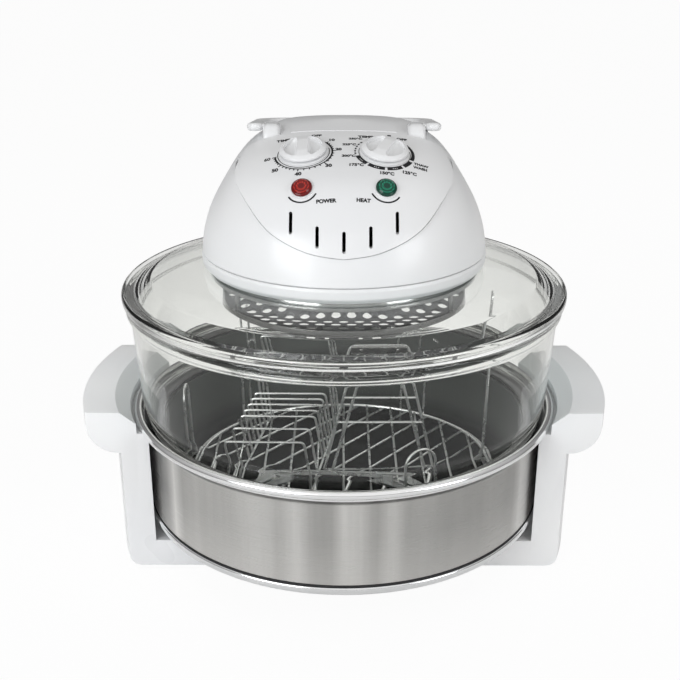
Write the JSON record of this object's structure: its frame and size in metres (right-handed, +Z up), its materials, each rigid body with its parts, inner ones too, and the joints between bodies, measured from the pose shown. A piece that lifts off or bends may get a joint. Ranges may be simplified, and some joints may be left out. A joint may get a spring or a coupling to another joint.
{
  "type": "halogen oven",
  "caption": "Countertop halogen oven: steel pot in a white cradle, glass bowl and lift-off glass lid with the heater head, fold-down handle, dials, wire racks and tongs.",
  "frame": {"origin": "on the table under the middle of the pot", "axes": "+Z up, -Y to the front where the dials are, +X to the oven's right as seen from the front"},
  "size_m": [0.415, 0.344, 0.3432],
  "materials": {
    "white_plastic": "gloss white",
    "black_plastic": "matte black",
    "black_rubber": "matte",
    "brushed_steel": "brushed round the pot",
    "bright_steel": "bright",
    "black_enamel": "gloss dark enamel",
    "clear_glass": "clear",
    "quartz_glass": "frosted",
    "white_ceramic": "matte ceramic",
    "dark_steel": "mill finish",
    "copper_wire": "lacquered winding",
    "fan_aluminium": "mill finish",
    "red_lens": "clear red",
    "green_lens": "clear green"
  },
  "bodies": {
    "cradle": {"cradle_stand_right": "white_plastic", "cradle_stand_left": "white_plastic", "cradle_tray": "white_plastic", "cradle_screw_front_right": "bright_steel", "cradle_screw_front_left": "bright_steel", "cradle_screw_rear_right": "bright_steel", "cradle_screw_rear_left": "bright_steel", "rubber_foot_front_right": "black_rubber", "rubber_foot_front_left": "black_rubber", "rubber_foot_rear_right": "black_rubber", "rubber_foot_rear_left": "black_rubber"},
    "pot": {"pot_shell": "brushed_steel", "pot_gasket": "black_rubber", "pot_base_ring": "bright_steel", "pot_base_plate": "dark_steel", "inner_pan": "black_enamel"},
    "rack": {"rack_upper_grid": "bright_steel", "rack_lower_grid": "bright_steel", "rack_lift_loop_front": "bright_steel", "rack_lift_loop_rear": "bright_steel", "rack_lift_loop_left": "bright_steel", "rack_tall_post_right": "bright_steel", "rack_tall_post_left": "bright_steel"},
    "toast": {"toast_rack": "bright_steel", "toast_rod_front": "bright_steel", "toast_rod_rear": "bright_steel"},
    "tongs": {"tongs_frame": "bright_steel", "tongs_plate": "brushed_steel"},
    "bowl": {"glass_bowl": "clear_glass"},
    "lid": {"glass_lid": "clear_glass", "lid_clamp_ring": "bright_steel", "head_skirt": "white_plastic", "head_tray": "dark_steel", "heat_reflector": "bright_steel", "guard_frame": "bright_steel", "guard_plate": "bright_steel", "halogen_tube": "quartz_glass", "lamp_socket_left": "white_ceramic", "lamp_socket_right": "white_ceramic", "control_panel": "white_plastic", "head_cover": "white_plastic", "bail_pivot_right": "white_plastic", "bail_pivot_left": "white_plastic", "safety_switch": "black_plastic", "timer_unit": "black_plastic", "thermostat_unit": "dark_steel", "pilot_lamp_red": "red_lens", "pilot_lamp_green": "green_lens", "cord_inlet": "black_rubber", "motor_stand": "dark_steel", "motor_stator": "dark_steel", "motor_coil": "copper_wire"},
    "bail": {"bail_handle": "white_plastic"},
    "plunger": {"switch_plunger": "black_plastic"},
    "timer_dial": {"timer_knob": "white_plastic"},
    "thermostat_dial": {"thermostat_knob": "white_plastic"},
    "rotor": {"motor_shaft": "brushed_steel", "hot_air_fan": "fan_aluminium", "cooling_fan": "white_plastic"}
  },
  "joints": [
    {"name": "pot_lift", "type": "slide", "parent": "cradle", "child": "pot", "axis": [0, 0, 1], "range_m": [0, 0.12]},
    {"name": "rack_lift", "type": "slide", "parent": "pot", "child": "rack", "axis": [0, 0, 1], "range_m": [0, 0.012]},
    {"name": "toast_rack_lift", "type": "slide", "parent": "rack", "child": "toast", "axis": [0, 0, 1], "range_m": [0, 0.06]},
    {"name": "tongs_lift", "type": "slide", "parent": "rack", "child": "tongs", "axis": [0, 0, 1], "range_m": [0, 0.03]},
    {"name": "bowl_lift", "type": "slide", "parent": "pot", "child": "bowl", "axis": [0, 0, 1], "range_m": [0, 0.11]},
    {"name": "lid_lift", "type": "slide", "parent": "bowl", "child": "lid", "axis": [0, 0, 1], "range_m": [0, 0.1]},
    {"name": "bail_fold", "type": "hinge", "parent": "lid", "child": "bail", "pos_m": [0, 0.008, 0.3395], "axis": [1, 0, 0], "range_deg": [0, 97]},
    {"name": "plunger_travel", "type": "slide", "parent": "lid", "child": "plunger", "axis": [0, 0, 1], "range_m": [0, 0.012]},
    {"name": "timer_turn", "type": "hinge", "parent": "lid", "child": "timer_dial", "pos_m": [-0.029, -0.0375, 0.32907], "axis": [-0.0914, -0.333, 0.9385], "range_deg": [-260, 0]},
    {"name": "thermostat_turn", "type": "hinge", "parent": "lid", "child": "thermostat_dial", "pos_m": [0.029, -0.0375, 0.32908], "axis": [0.09, -0.3326, 0.9388], "range_deg": [-288, 22]},
    {"name": "fan_spin", "type": "hinge", "parent": "lid", "child": "rotor", "pos_m": [0, 0, 0.25], "axis": [0, 0, 1], "continuous": true}
  ],
  "couplings": [
    {"joint": "plunger_travel", "follows": "bail_fold", "m_per_rad": 0.0065}
  ]
}
